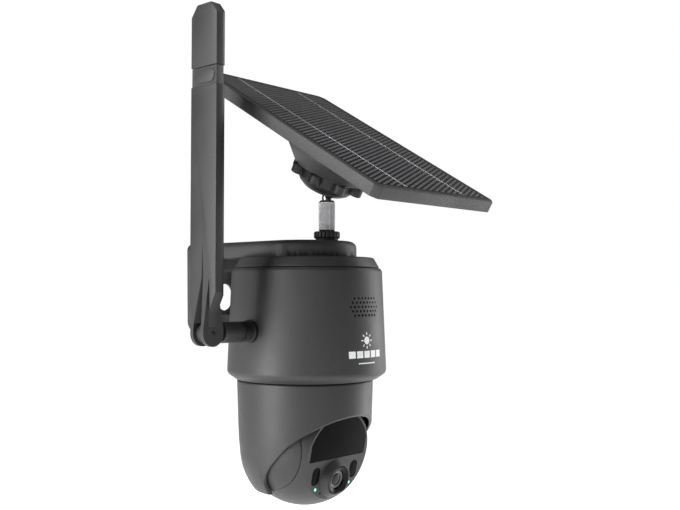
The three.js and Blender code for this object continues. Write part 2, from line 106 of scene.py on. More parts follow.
def tint(t, fac, dark, light, a=0.3, b=0.7):
    ramp = t.nodes.new("ShaderNodeValToRGB")
    ramp.color_ramp.elements[0].position = a
    ramp.color_ramp.elements[1].position = b
    ramp.color_ramp.elements[0].color = (*dark, 1)
    ramp.color_ramp.elements[1].color = (*light, 1)
    t.links.new(fac, ramp.inputs["Fac"])
    return ramp.outputs["Color"]


def bump(t, height, strength, distance):
    b = node(t, "ShaderNodeBump", Strength=strength, Distance=distance)
    t.links.new(height, b.inputs["Height"])
    return b.outputs["Normal"]


def moulded(name, level, rough=0.55, grain=1.0, specular=0.4):
    """Moulded plastic: fine pitted grain, a faint cloudy shade and a slightly uneven shine."""
    m, t, shader, at = start(name)
    fine = noise(t, at, 1500, 2.0, 0.7)
    cloud = noise(t, at, 28, 4.0)
    dark = [level * 0.80, level * 0.80, level * 0.815]
    light = [level * 1.20, level * 1.20, level * 1.215]
    speck = tint(t, fine, dark, light, 0.32, 0.68)
    shade = tint(t, cloud, (0.93,) * 3, (1.05,) * 3)
    mix = node(t, "ShaderNodeMixRGB", blend_type="MULTIPLY")
    mix.inputs["Fac"].default_value = 1
    t.links.new(speck, mix.inputs["Color1"])
    t.links.new(shade, mix.inputs["Color2"])
    t.links.new(mix.outputs["Color"], shader.inputs["Base Color"])
    t.links.new(spread(t, cloud, rough - 0.05, rough + 0.05), shader.inputs["Roughness"])
    t.links.new(bump(t, fine, 0.35 * grain, 0.00025), shader.inputs["Normal"])
    shader.inputs["Specular IOR Level"].default_value = specular
    return m


def glossy(name, color, rough, coat=0.0, specular=0.5):
    m, t, shader, at = start(name)
    smear = noise(t, at, 90, 3.0)
    shade = tint(t, smear, [c * 0.8 for c in color], [c * 1.2 + 0.001 for c in color])
    t.links.new(shade, shader.inputs["Base Color"])
    t.links.new(spread(t, smear, rough * 0.7, rough * 1.6), shader.inputs["Roughness"])
    shader.inputs["Coat Weight"].default_value = coat
    shader.inputs["Specular IOR Level"].default_value = specular
    shader.inputs["Coat Roughness"].default_value = 0.03
    return m


def metal(name, color, rough, scale=900):
    m, t, shader, at = start(name)
    grit = noise(t, at, scale, 3.0)
    shade = tint(t, grit, [c * 0.88 for c in color], [min(1, c * 1.05) for c in color])
    t.links.new(shade, shader.inputs["Base Color"])
    t.links.new(spread(t, grit, rough * 0.7, rough * 1.4), shader.inputs["Roughness"])
    t.links.new(bump(t, grit, 0.06, 0.0002), shader.inputs["Normal"])
    shader.inputs["Metallic"].default_value = 1
    return m


def glow(name, color, power):
    m, t, shader, at = start(name)
    spots = noise(t, at, 1200, 1.0)
    t.links.new(tint(t, spots, [c * 0.85 for c in color], color), shader.inputs["Base Color"])
    shader.inputs["Emission Color"].default_value = (*color, 1)
    shader.inputs["Emission Strength"].default_value = power
    shader.inputs["Roughness"].default_value = 0.15
    return m


def circuit(name):
    m, t, shader, at = start(name)
    cells = node(t, "ShaderNodeTexVoronoi", Scale=260.0)
    t.links.new(at, cells.inputs["Vector"])
    t.links.new(tint(t, cells.outputs["Distance"], (0.01, 0.09, 0.03), (0.03, 0.2, 0.08), 0.1, 0.6),
                shader.inputs["Base Color"])
    shader.inputs["Roughness"].default_value = 0.35
    return m


def solar(name):
    """Dark cells: slanting pale stripes that fade far up the slope, inside a black margin."""
    m, t, shader, at = start(name)
    uv = t.nodes.new("ShaderNodeUVMap")
    uv.uv_map = "panel"
    sep = t.nodes.new("ShaderNodeSeparateXYZ")
    t.links.new(uv.outputs["UV"], sep.inputs[0])
    x, y = sep.outputs[0], sep.outputs[1]

    def math_node(op, a, b=None):
        n = t.nodes.new("ShaderNodeMath")
        n.operation = op
        for i, v in enumerate((a, b)):
            if v is None:
                continue
            if isinstance(v, (int, float)):
                n.inputs[i].default_value = v
            else:
                t.links.new(v, n.inputs[i])
        return n.outputs[0]

    across = math_node("SUBTRACT", math_node("MULTIPLY", y, math.cos(RAD(STRIPE_SLANT))),
                       math_node("MULTIPLY", x, math.sin(RAD(STRIPE_SLANT))))
    wave = math_node("SINE", math_node("MULTIPLY", across, TAU / STRIPE_PITCH))
    blotch = noise(t, at, 420, 3.0)
    stripe = math_node("MULTIPLY", wave, spread(t, y, 1.0, 0.22, -85, 70))
    level = math_node("ADD", math_node("MULTIPLY", stripe, 0.75), blotch)
    cell = tint(t, level, (0.0012, 0.0012, 0.002), (0.125, 0.123, 0.130), 0.15, 0.95)
    inside = math_node("MULTIPLY", math_node("LESS_THAN", math_node("ABSOLUTE", x), CELLS_HALF_W),
                       math_node("LESS_THAN", math_node("ABSOLUTE", y), CELLS_HALF_L))
    mix = node(t, "ShaderNodeMixRGB", blend_type="MIX")
    mix.inputs["Color1"].default_value = (0.004, 0.004, 0.005, 1)
    t.links.new(inside, mix.inputs["Fac"])
    t.links.new(cell, mix.inputs["Color2"])
    t.links.new(mix.outputs["Color"], shader.inputs["Base Color"])
    t.links.new(spread(t, blotch, 0.34, 0.46), shader.inputs["Roughness"])
    t.links.new(bump(t, noise(t, at, 2600, 1.0), 0.08, 0.0002), shader.inputs["Normal"])
    shader.inputs["Specular IOR Level"].default_value = 0.12
    return m


GREY = moulded("housing grey", 0.021, rough=0.48)
ARM_GREY = moulded("bracket grey", 0.019, rough=0.50)
DARK = moulded("dark moulding", 0.009, rough=0.45, grain=0.6, specular=0.3)
FRAME_GREY = moulded("panel frame grey", 0.028, grain=0.7)
BACK = moulded("panel back", 0.022, rough=0.6)
RUBBER = moulded("seal rubber", 0.012, rough=0.75, grain=1.4)
NYLON = moulded("nylon", 0.55, rough=0.4, grain=0.3)
BLACK = glossy("black window", (0.0035, 0.0035, 0.004), rough=0.05, specular=0.03)
TRIM = glossy("lens trim", (0.004, 0.004, 0.0045), rough=0.16, specular=0.1)
LENS = glossy("coated lens", (0.012, 0.013, 0.016), rough=0.05, specular=0.22)
IRIS = glossy("lens inner", (0.05, 0.05, 0.055), rough=0.2, coat=0.1)
PRINT = moulded("white print", 0.78, rough=0.5, grain=0.15)
CELL = glossy("cell wrap", (0.03, 0.12, 0.35), rough=0.2, coat=0.6)
CHROME = metal("knurled chrome", (0.34, 0.34, 0.35), rough=0.16, scale=500)
STEEL = metal("plain steel", (0.52, 0.52, 0.53), rough=0.3)
BRASS = metal("brass", (0.62, 0.44, 0.17), rough=0.3)
RIBBON = metal("tinned ribbon", (0.86, 0.87, 0.88), rough=0.4, scale=1600)
BOARD = circuit("circuit board")
LIT = glow("lit lamp", (0.32, 0.95, 0.70), power=0.85)
SOLAR = solar("solar cells")


# ------------------------------------------------------------------ mesh making, in millimetres
def raw(verts, faces, name="shape"):
    mesh = bpy.data.meshes.new(name)
    mesh.from_pydata([tuple(v) for v in verts], [], faces)
    mesh.update()
    obj = bpy.data.objects.new(name, mesh)
    bpy.context.scene.collection.objects.link(obj)
    return obj


def clean(obj, merge=1e-4):
    """Welds close vertices and turns the faces outwards."""
    bm = bmesh.new()
    bm.from_mesh(obj.data)
    bmesh.ops.remove_doubles(bm, verts=bm.verts, dist=merge)
    bmesh.ops.dissolve_degenerate(bm, edges=bm.edges, dist=1e-5)
    bmesh.ops.recalc_face_normals(bm, faces=bm.faces)
    bm.to_mesh(obj.data)
    bm.free()
    return obj


def fillet(points, radius, steps=4, closed=False):
    """Rounds the corners of a polyline; radius is one number or one per point."""
    n = len(points)
    radii = radius if isinstance(radius, (list, tuple)) else [radius] * n
    out = []
    for i, p in enumerate(points):
        p = Vector(p)
        if radii[i] <= 0 or (not closed and i in (0, n - 1)):
            out.append((p.x, p.y))
            continue
        a, b = Vector(points[i - 1]) - p, Vector(points[(i + 1) % n]) - p
        la, lb = a.length, b.length
        if la < 1e-6 or lb < 1e-6:
            out.append((p.x, p.y))
            continue
        a.normalize()
        b.normalize()
        turn = a.angle(b)
        if turn > math.pi - 0.02:
            out.append((p.x, p.y))
            continue
        reach = min(radii[i] / math.tan(turn / 2), la * 0.48, lb * 0.48)
        r = reach * math.tan(turn / 2)
        centre = p + (a + b).normalized() * (r / math.sin(turn / 2))
        s, e = p + a * reach - centre, p + b * reach - centre
        for k in range(steps + 1):
            w = k / steps
            v = s.lerp(e, w)
            v = v.normalized() * r if v.length > 1e-9 else v
            out.append((centre.x + v.x, centre.y + v.y))
    return out


def turned(profile, segments=96, axis="Z", closed=False, radius_of=None):
    """Surface of revolution of (radius, height) pairs. radius_of(r, h, angle) may change the radius."""
    verts, rings = [], []
    for r, h in profile:
        if r < 1e-6:
            rings.append([len(verts)])
            verts.append((0, 0, h))
            continue
        ring = []
        for k in range(segments):
            a = TAU * k / segments
            rr = radius_of(r, h, a) if radius_of else r
            ring.append(len(verts))
            verts.append((rr * math.cos(a), rr * math.sin(a), h))
        rings.append(ring)
    faces = []
    pairs = list(zip(rings, rings[1:])) + ([(rings[-1], rings[0])] if closed else [])
    for low, high in pairs:
        for k in range(segments):
            j = (k + 1) % segments
            if len(low) == 1 and len(high) == 1:
                continue
            if len(low) == 1:
                faces.append((low[0], high[j], high[k]))
            elif len(high) == 1:
                faces.append((low[k], low[j], high[0]))
            else:
                faces.append((low[k], low[j], high[j], high[k]))
    obj = clean(raw(verts, faces))
    if axis == "X":
        obj.data.transform(Matrix(((0, 0, 1, 0), (0, 1, 0, 0), (-1, 0, 0, 0), (0, 0, 0, 1))))
    if axis == "Y":
        obj.data.transform(Matrix(((1, 0, 0, 0), (0, 0, 1, 0), (0, -1, 0, 0), (0, 0, 0, 1))))
    return obj


def prism(outline, low, high, axis="Z"):
    """Closed outline raised along an axis: Z takes (x, y), Y takes (x, z), X takes (y, z)."""
    n = len(outline)
    put = {"Z": lambda u, v, w: (u, v, w),
           "Y": lambda u, v, w: (u, w, v),
           "X": lambda u, v, w: (w, u, v)}[axis]
    verts = [put(u, v, low) for u, v in outline] + [put(u, v, high) for u, v in outline]
    faces = [tuple(range(n)), tuple(range(2 * n - 1, n - 1, -1))]
    faces += [(k, (k + 1) % n, n + (k + 1) % n, n + k) for k in range(n)]
    return clean(raw(verts, faces))


def brick(x, y, z):
    return prism([(x[0], y[0]), (x[1], y[0]), (x[1], y[1]), (x[0], y[1])], z[0], z[1])


def rod(r, low, high, axis="Z", segments=32, at=(0, 0, 0)):
    obj = turned([(0, low), (r, low), (r, high), (0, high)], segments, axis)
    obj.data.transform(Matrix.Translation(at))
    return obj


def bake(obj):
    """Applies the modifiers."""
    bpy.context.view_layer.update()
    graph = bpy.context.evaluated_depsgraph_get()
    mesh = bpy.data.meshes.new_from_object(obj.evaluated_get(graph))
    obj.modifiers.clear()
    old, obj.data = obj.data, mesh
    bpy.data.meshes.remove(old)
    return obj


def combine(obj, tools, how):
    tools = tools if isinstance(tools, (list, tuple)) else [tools]
    if len(tools) > 1:
        bm = bmesh.new()
        for tool in tools:
            bm.from_mesh(tool.data)
        for tool in tools[1:]:
            bpy.data.objects.remove(tool)
        bm.to_mesh(tools[0].data)
        bm.free()
    mod = obj.modifiers.new("join", "BOOLEAN")
    mod.operation, mod.solver, mod.object = how, "EXACT", tools[0]
    mod.use_self = how != "INTERSECT" and len(tools) > 1
    bake(obj)
    bpy.data.objects.remove(tools[0])
    return clean(obj, 2e-4)


def cut(obj, *tools):
    return combine(obj, list(tools), "DIFFERENCE")


def keep(obj, tool):
    return combine(obj, tool, "INTERSECT")


def fuse(obj, *tools):
    for tool in tools:
        combine(obj, tool, "UNION")
    return obj


def soften(obj, width, steps=3, angle=35):
    mod = obj.modifiers.new("edge", "BEVEL")
    mod.width, mod.segments, mod.limit_method = width, steps, "ANGLE"
    mod.angle_limit = RAD(angle)
    mod.use_clamp_overlap = True
    return bake(obj)


def show(obj, name, material, body, replaces=(), at=HERE, sharp=32):
    """Turns a millimetre shape into a finished piece in the frame, riding on a body."""
    obj.name = obj.data.name = name
    obj.data.transform(Matrix.Scale(0.001, 4) @ at)
    obj.data.materials.clear()
    obj.data.materials.append(material)
    obj.data.shade_smooth()
    obj.data.set_sharp_from_angle(angle=RAD(sharp))
    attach(obj, body)
    if replaces:
        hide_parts(*([replaces] if isinstance(replaces, str) else replaces))
    return obj


def arc(radius, first, last, steps, centre=(0, 0)):
    return [(centre[0] + radius * math.cos(RAD(first + (last - first) * k / steps)),
             centre[1] + radius * math.sin(RAD(first + (last - first) * k / steps))) for k in range(steps + 1)]


def round_rect(w, h, r, cx=0, cy=0, steps=6):
    x, y = w / 2, h / 2
    corners = [(cx - x, cy - y), (cx + x, cy - y), (cx + x, cy + y), (cx - x, cy + y)]
    return fillet(corners, r, steps, closed=True)


def ball_shape(r, segments, rings):
    return turned([(max(0, r * math.cos(RAD(a))), r * math.sin(RAD(a)))
                   for a in [-90 + 180 * k / rings for k in range(rings + 1)]], segments, "X")


# ------------------------------------------------------------------ wall bracket
def arm_outline(inset):
    side = ARM_HALF - inset
    return [(side, -5)] + arc(ARM_R - inset, 0, -180, 64, (0, DRUM_Y)) + [(-side, -5)]


def stacked(outlines):
    """Solid through closed outlines of equal length, each given with its height."""
    n = len(outlines[0][0])
    verts = [(x, y, z) for outline, z in outlines for x, y in outline]
    faces = [tuple(range(n)), tuple(range(len(verts) - n, len(verts)))]
    for first in range(0, len(verts) - n, n):
        for k in range(n):
            j = (k + 1) % n
            faces.append((first + k, first + j, first + n + j, first + n + k))
    return clean(raw(verts, faces))


levels = [(arm_outline(0), ARM_LOW)]
for a in range(0, 91, 10):
    drop = ARM_ROUND * (1 - math.sin(RAD(a)))
    levels.append((arm_outline(ARM_ROUND * (1 - math.cos(RAD(a)))), ARM_TOP - drop))
arm = stacked(levels)
plate_outline = [(-ARM_HALF, ARM_TOP), (ARM_HALF, ARM_TOP), (33.6, -52.2), (-33.6, -52.2)]
plate = prism(fillet(plate_outline, [ARM_ROUND, ARM_ROUND, 8, 8], 8, True), -9, 0, "Y")
bracket = fuse(arm, plate)
bracket = cut(bracket, prism(round_rect(30, 31.3, 3, 0, -24.05), -10, -2.5, "Y"))
bracket = cut(bracket, prism(round_rect(15.2, 19.7, 7.55, 0, -27.05, 8), -3.5, 1, "Y"))
bracket = soften(bracket, 0.9, 3, 50)
for x in (-24, 24):
    for z in (-4.2, -44.2):
        sink = turned([(0, 1), (2.3, 1), (2.3, -6.6), (4.4, -9.1), (4.4, -12), (0, -12)], 32, "Y")
        sink.data.transform(Matrix.Translation((x, 0, z)))
        bracket = cut(bracket, sink)
bracket = cut(bracket, rod(3.3, 5, 14, at=(0, STUD_Y, 0)))
show(bracket, "bracket_casting", ARM_GREY, "camera_body", "wall_bracket")

# ------------------------------------------------------------------ upper housing
lid = turned(fillet([(0, 0), (45.4, 0), (49.4, -7), (46.5, -7), (46.5, -11), (44, -11), (44, -3), (0, -3)],
                    [0, 1.6, 0.5, 0.2, 0.2, 0.2, 0.3, 0], 5), 144)
show(lid, "lid_shell", GREY, "camera_body", "lid", DRUM)

shell = turned(fillet([(46.8, -11.5), (46.8, -8.8), (48.9, -8.8), (48.9, -7.3), (50, -7.3), SHELL_TOP,
                       SHELL_LOW, (48, -81.2), (46.6, -81.2), (46.6, -79), (51.3, -79), (48.7, -11.5)],
                      [0.2, 0.2, 0.2, 0.2, 0.5, 1.4, 4.2, 1.0, 0.3, 0.2, 0.5, 0.5], 5, True), 144, closed=True)
pad = brick((47.6, 50.8), (-13, 13), (-72, -42))
shell = fuse(shell, pad)
bay = soften(brick((51, 60), (-11, 11), (-70.5, -43.5)), 2.0, 4)
shell = cut(shell, bay)
shell = cut(shell, soften(brick((46, 60), (-5, 5), (-65, -61)), 0.7, 2), rod(3.6, 46, 60, "X", 40, (0, 0, -50)),
            rod(5.4, -60, -46, "X", 40, (0, 0, AERIAL_Z)))

GRILLE_ROWS, GRILLE_Z = (7, 8, 9, 8, 7), -32.6
ROW_STEP, HOLE_STEP = 2.74, 3.52     # mm down, degrees round
holes = []
for row, count in enumerate(GRILLE_ROWS):
    for k in range(count):
        hole = turned([(0, -60), (0.98, -60), (0.98, -52.4), (0.8, -52.0), (0.8, -46), (0, -46)], 10, "Y")
        hole.data.transform(Matrix.Rotation(RAD((k - (count - 1) / 2) * HOLE_STEP), 4, "Z")
                            @ Matrix.Translation((0, 0, GRILLE_Z + (2 - row) * ROW_STEP)))
        holes.append(hole)
shell = cut(shell, *holes)
show(shell, "housing_shell", GREY, "camera_body", "drum_shell", DRUM)


def wall_radius(z):
    (top_r, top_z), (low_r, low_z) = SHELL_TOP, SHELL_LOW
    return top_r + (low_r - top_r) * (top_z - z) / (top_z - low_z)


def wrapped(cells, depth=0.12, lift=0.07):
    """Thin printed shapes laid round the housing; each cell is a list of (distance round, height)."""
    verts, faces = [], []
    for cell in cells:
        first, n = len(verts), len(cell)
        for w in (-depth, lift):
            for u, v in cell:
                r = wall_radius(v) + w
                a = u / wall_radius(v)
                verts.append((r * math.sin(a), -r * math.cos(a), v))
        faces += [tuple(first + k for k in range(n)), tuple(first + n + k for k in reversed(range(n)))]
        faces += [(first + (k + 1) % n, first + k, first + n + k, first + n + (k + 1) % n) for k in range(n)]
    return clean(raw(verts, faces))


def strip(u0, u1, v0, v1, steps):
    """A printed bar cut into cells, so that it follows the round wall."""
    step = (u1 - u0) / steps
    return [[(u0 + k * step, v0), (u0 + (k + 1) * step, v0), (u0 + (k + 1) * step, v1), (u0 + k * step, v1)]
            for k in range(steps)]


SUN_Z, SUN_R, RAY_IN, RAY_OUT, RAY_HALF = -54.2, 2.5, 3.5, 5.2, 0.4
SQUARE, SQUARE_STEP, SQUARE_FIRST = 5.2, 6.4, -15.6
mark = []
for k in range(24):
    a, b = TAU * k / 24, TAU * (k + 1) / 24
    mark.append([(0, SUN_Z), (SUN_R * math.cos(a), SUN_Z + SUN_R * math.sin(a)),
                 (SUN_R * math.cos(b), SUN_Z + SUN_R * math.sin(b))])
ray = ((RAY_IN, RAY_HALF), (RAY_IN, -RAY_HALF), (RAY_OUT, -RAY_HALF), (RAY_OUT, RAY_HALF))
for k in range(8):
    c, s = math.cos(TAU * k / 8), math.sin(TAU * k / 8)
    mark.append([(c * r - s * w, SUN_Z + s * r + c * w) for r, w in ray])
for k in range(5):
    left = SQUARE_FIRST + SQUARE_STEP * k
    mark += strip(left, left + SQUARE, -65.2, -60.8, 4)
mark += strip(-8, 8, -69.0, -68.3, 8)
show(wrapped(mark), "printed_charge_symbol", PRINT, "camera_body", at=DRUM)

collar = [(0, -64), (5, -64), (5, -61.9), (6.55, -61.9)]
for k in range(4):
    x = -61.2 + 1.5 * k
    collar += [(6.55, x), (6.3, x + 0.2), (6.3, x + 0.5), (6.55, x + 0.7)]
collar += [(6.6, -55.2), (7.4, -54.6), (7.4, -53.2), (5, -53.2), (5, -47.5), (0, -47.5)]
jack = fuse(turned(collar, 64, "X"), rod(2.8, -70, -63, "X"))
show(jack, "aerial_collar", DARK, "camera_body", "antenna_jack", DRUM @ Matrix.Translation((0, 0, AERIAL_Z)))

# service bay on the right side
cover = soften(brick((51.3, 52.9), (-7, 7), (-68.5, -58.5)), 0.6, 3)
cover = cut(cover, soften(brick((52.45, 54), (-3, 3), (-60.4, -59.4)), 0.15, 2))
cover = fuse(cover, brick((50.2, 51.6), (-4.5, 4.5), (-64.6, -61.4)))
show(cover, "socket_flap", DARK, "port_cover_body", "port_cover", DRUM)
button = turned(fillet([(0, 45.6), (4.4, 45.6), (4.4, 47.2), (3.2, 47.2), (3.2, 51.9), (2.4, 52.0), (1.6, 51.6),
                        (0, 51.5)], [0, 0.2, 0.2, 0.2, 0.4, 0.3, 0.3, 0], 3), 48, "X")
show(button, "button_cap", DARK, "button_body", "power_button", DRUM @ Matrix.Translation((0, 0, -50)))

# ------------------------------------------------------------------ turning housing with its scooped front
SHOULDER_Z = -87
SCOOP = [(-101.7, -47.6), (-106.5, -40.3), (-113.1, -31.6), (-121.2, -21.6), (-130.2, -13.3), (-136.7, -7.4),
         (-141.5, -3.8), (-145.5, -1.4), (-150, -0.5)]


def scoop_y(z):
    """The most forward (lowest) y that the housing keeps at a height; above the scoop nothing is cut."""
    if z >= SCOOP[0][0]:
        return -1000.0
    if z <= SCOOP[-1][0]:
        return SCOOP[-1][1]
    for (z0, y0), (z1, y1) in zip(SCOOP, SCOOP[1:]):
        if z1 <= z <= z0:
            return y0 + (y1 - y0) * (z0 - z) / (z0 - z1)
    return 0.0


def dense(profile, step=0.8):
    """The same profile with points no further apart than about one step."""
    out = [profile[0]]
    for a, b in zip(profile, profile[1:]):
        n = max(1, int(math.dist(a, b) / step))
        out += [(a[0] + (b[0] - a[0]) * k / n, a[1] + (b[1] - a[1]) * k / n) for k in range(1, n + 1)]
    return out


def meridian(profile, angle, rows):
    """Points down one meridian as far as the scoop, spaced evenly below the shoulder."""
    s = math.sin(angle)
    kept = []
    for r, z in profile:
        if r * s < scoop_y(z) and kept:
            r0, z0 = kept[-1]
            low, high = 0.0, 1.0
            for _ in range(20):
                mid = (low + high) / 2
                rm, zm = r0 + (r - r0) * mid, z0 + (z - z0) * mid
                low, high = (low, mid) if rm * s < scoop_y(zm) else (mid, high)
            kept.append((r0 + (r - r0) * low, z0 + (z - z0) * low))
            break
        kept.append((r, z))
    top = [q for q in kept if q[1] > SHOULDER_Z]
    kept = kept[len(top) - 1:]
    total = [0.0]
    for a, b in zip(kept, kept[1:]):
        total.append(total[-1] + math.dist(a, b))
    out, i = top[:-1], 0
    for k in range(rows):
        d = total[-1] * k / (rows - 1)
        while i < len(total) - 2 and total[i + 1] < d:
            i += 1
        span = total[i + 1] - total[i] or 1
        w = (d - total[i]) / span
        (r0, z0), (r1, z1) = kept[i], kept[i + 1]
        out.append((r0 + (r1 - r0) * w, z0 + (z1 - z0) * w))
    return out


outer = dense(fillet([(6.2, -81.7), (46.2, -81.7), (45.2, -112), (44.7, -122)], [0, 1.4, 8, 0], 6)
              + arc(44, -3, -38.3, 40, (0, -127.2)) + [(34.2, -154.8), (33.8, -155.0), (32.0, -155.0)])
inner = dense([(6.2, -84.7)] + fillet([(41.6, -84.7), (43.4, -86.4), (43.4, BALL_Z)], 1, 4)
              + arc(43.4, -2, -45.6, 40, (0, BALL_Z)) + [(30.6, -154.9), (31.2, -155.0), (32.0, -155.0)])
SIDES, ROWS, LIP = 240, 70, 0.28
verts = []
for k in range(SIDES):
    a = TAU * k / SIDES
    c, s = math.cos(a), math.sin(a)
    out_line, in_line = meridian(outer, a, ROWS), meridian(inner, a, ROWS)
    (ro, zo), (ri, zi) = out_line[-1], in_line[-1]
    lip = [(ro * 0.75 + ri * 0.25, zo * 0.75 + zi * 0.25), (ro * 0.25 + ri * 0.75, zo * 0.25 + zi * 0.75)]
    back = (out_line[-2][0] - ro, out_line[-2][1] - zo)
    size = math.hypot(*back) or 1
    back = (back[0] / size * LIP, back[1] / size * LIP)
    out_line[-1] = (ro + back[0], zo + back[1])
    in_line[-1] = (ri + back[0], zi + back[1])
    section_line = out_line + lip + in_line[::-1]
    verts += [(r * c, r * s, z) for r, z in section_line]
span = len(section_line)
faces = []
for k in range(SIDES):
    here, there = k * span, ((k + 1) % SIDES) * span
    faces += [(here + i, there + i, there + (i + 1) % span, here + (i + 1) % span) for i in range(span)]
show(clean(raw(verts, faces)), "turning_housing", GREY, "pan_body", "pan_housing", PAN, 40)

for side, s in (("left", -1), ("right", 1)):
    curve = [(BALL_R * math.cos(RAD(49.9 + k * 1.7)), s * BALL_R * math.sin(RAD(49.9 + k * 1.7)))
             for k in range(20)]
    cap = turned([(4.8, s * 32.2), (27.1, s * 32.2), (27.4, s * 32.3)] + curve + [(4.8, s * 42.1)], 144, "X",
                 closed=True)
    show(cap, f"ball_cheek_{side}", GREY, "pan_body", f"side_cap_{side}", BALL)

# ------------------------------------------------------------------ tilting head
EDGE = math.degrees(math.asin(BAND_HALF / BALL_R))
INNER = BALL_R - BALL_WALL
IN_EDGE = math.degrees(math.asin((BAND_HALF - 2) / INNER))


def band_shape(edge_round=0.35):
    """The middle slice of the hollow ball."""
    rim = arc(BALL_R, -EDGE, EDGE, 40)
    return turned([(rim[0][0] - edge_round, rim[0][1])] + rim[1:-1] + [(rim[-1][0] - edge_round, rim[-1][1])]
                  + arc(INNER, IN_EDGE, -IN_EDGE, 20), 200, "X", closed=True)


def sector(first, last):
    """A wedge round the tilt axis; degrees are counted upwards from straight ahead."""
    rim = [(-y, z) for y, z in arc(60, first, last, 8)]
    return prism([(0, 0)] + rim, -50, 50, "X")


def window_outline(inset):
    half, low, r = 26.6 - inset, -1.9 + inset, 28.3 - inset
    corners = fillet([(-half, 6), (-half, low), (half, low), (half, 6)], [0, 0.8, 0.8, 0], 3)
    return corners + arc(r, 19.5, 160.5, 72)


def led_outline(s, inset):
    return round_rect(7.4 - 2 * inset, 12.2 - 2 * inset, 3.68 - inset, s * LED_X, LED_Z, 12)


LENS_AT = Matrix.Translation((0, 0, LENS_Z))
RIM = BALL_R * math.cos(math.asin(-FACE / BALL_R))
front = keep(band_shape(), sector(62, -75))
front = cut(front, brick((-50, 50), (-60, FACE), (-50, 50)))
plate = keep(turned([(0, FACE_BACK), (31.6, FACE_BACK), (30.6, -29.2), (RIM, FACE), (0, FACE)], 200, "Y"),
             brick((-BAND_HALF, BAND_HALF), (-50, 0), (-50, 50)))
front = fuse(front, plate)
hood = turned(fillet([(0, -34.9), (10.5, -34.9), (14.6, -28.5), (0, -28.5)], [0, 0.7, 0, 0], 5), 120, "Y")
hood.data.transform(LENS_AT)
hood = keep(hood, ball_shape(BALL_R + 0.2, 96, 40))
front = fuse(front, hood)
front = cut(front, prism(window_outline(0), -60, -20, "Y"))
bore = turned([(0, -60), (10.0, -60), (10.0, -34.75), (9.6, -34.35), (9.6, -20), (0, -20)], 96, "Y")
bore.data.transform(LENS_AT)
front = cut(front, bore)
front = cut(front, prism(led_outline(-1, 0), -60, -20, "Y"), prism(led_outline(1, 0), -60, -20, "Y"),
            rod(1.5, -60, -20, "Y", 24, (-STATUS_X, 0, STATUS_Z)),
            rod(1.5, -60, -20, "Y", 24, (STATUS_X, 0, STATUS_Z)),
            rod(0.7, -60, -20, "Y", 16, (-11.6, 0, -24.5)))
show(front, "head_face_shell", GREY, "tilt_head", "head_front_shell", HEAD, 30)
rear = keep(band_shape(), sector(-75.5, -140))
show(rear, "head_tail_shell", GREY, "tilt_head", "head_rear_shell", HEAD, 30)

pane = soften(prism(window_outline(0.2), FACE + 0.1, FACE_BACK - 0.2, "Y"), 0.25, 3, 50)
show(pane, "front_window", BLACK, "tilt_head", "head_window", HEAD, 40)
for side, s in (("left", -1), ("right", 1)):
    lamp = soften(prism(led_outline(s, 0.22), FACE + 0.25, FACE_BACK - 0.2, "Y"), 0.3, 3, 50)
    show(lamp, f"lamp_window_{side}", BLACK, "tilt_head", f"led_lens_{side}", HEAD, 40)
    dot = turned(fillet([(0, -26), (1.05, -26), (1.05, -30.1), (0.6, -30.4), (0, -30.5)],
                        [0, 0, 0.3, 0.2, 0], 4), 32, "Y")
    show(dot, f"status_lamp_{side}", LIT, "tilt_head", f"status_led_{side}",
         HEAD @ Matrix.Translation((s * STATUS_X, 0, STATUS_Z)))

ring = turned(fillet([(6.1, -33.0), (6.5, -33.7), (9.0, -34.6), (9.3, -34.3), (9.3, -28.8), (6.1, -28.8)],
                     [0.15, 0.2, 0.25, 0.1, 0.1, 0.1], 4, True), 96, "Y", closed=True)
show(ring, "lens_bezel", TRIM, "tilt_head", "lens_ring", HEAD @ LENS_AT)
barrel = [(0, -31.0), (2.0, -31.0), (2.0, -31.5), (2.9, -31.5), (3.1, -31.9), (4.2, -32.0), (4.4, -32.4),
          (5.0, -32.6), (5.9, -32.6), (5.9, -28.4), (7.5, -28.4), (7.5, -16), (0, -16)]
show(turned(barrel, 72, "Y"), "lens_stack", IRIS, "tilt_head", "lens_barrel", HEAD @ LENS_AT)
dome = turned([(0, -31.2), (3.9, -31.2)] + [(3.9 * math.cos(RAD(a)), -32.0 - 0.9 * math.sin(RAD(a)))
                                            for a in (0, 12, 24, 36, 48, 60, 72, 84)] + [(0, -32.9)], 72, "Y")
show(dome, "lens_front_element", LENS, "tilt_head", "lens_glass", HEAD @ LENS_AT)

# ------------------------------------------------------------------ aerial
SECTION = [(-BLADE_THIN, -BLADE_HALF), (1.3, -BLADE_HALF), (BLADE_THIN, -10.9), (BLADE_THIN, 10.9),
           (1.3, BLADE_HALF), (-BLADE_THIN, BLADE_HALF)]
FOOT_RIGHT = [(12.6, 3), (5.6, 3), (6.1, 5.4), (8.6, 6.8), (10.6, 9.0), (11.7, 12.0), (12.0, 15.5),
              (12.6, 15.5)]
FOOT_LEFT = [(-12.6, 26), (-12, 25), (-7.2, 16), (-6.2, 12), (-6.2, 3), (-12.6, 3)]


def section(inset):
    """The blade's outline pulled in all round, for the parts that sit a little below its surface."""
    return [(x + (inset if x < 0 else -inset if x > 3 else 0), y + (inset if y < 0 else -inset))
            for x, y in SECTION]


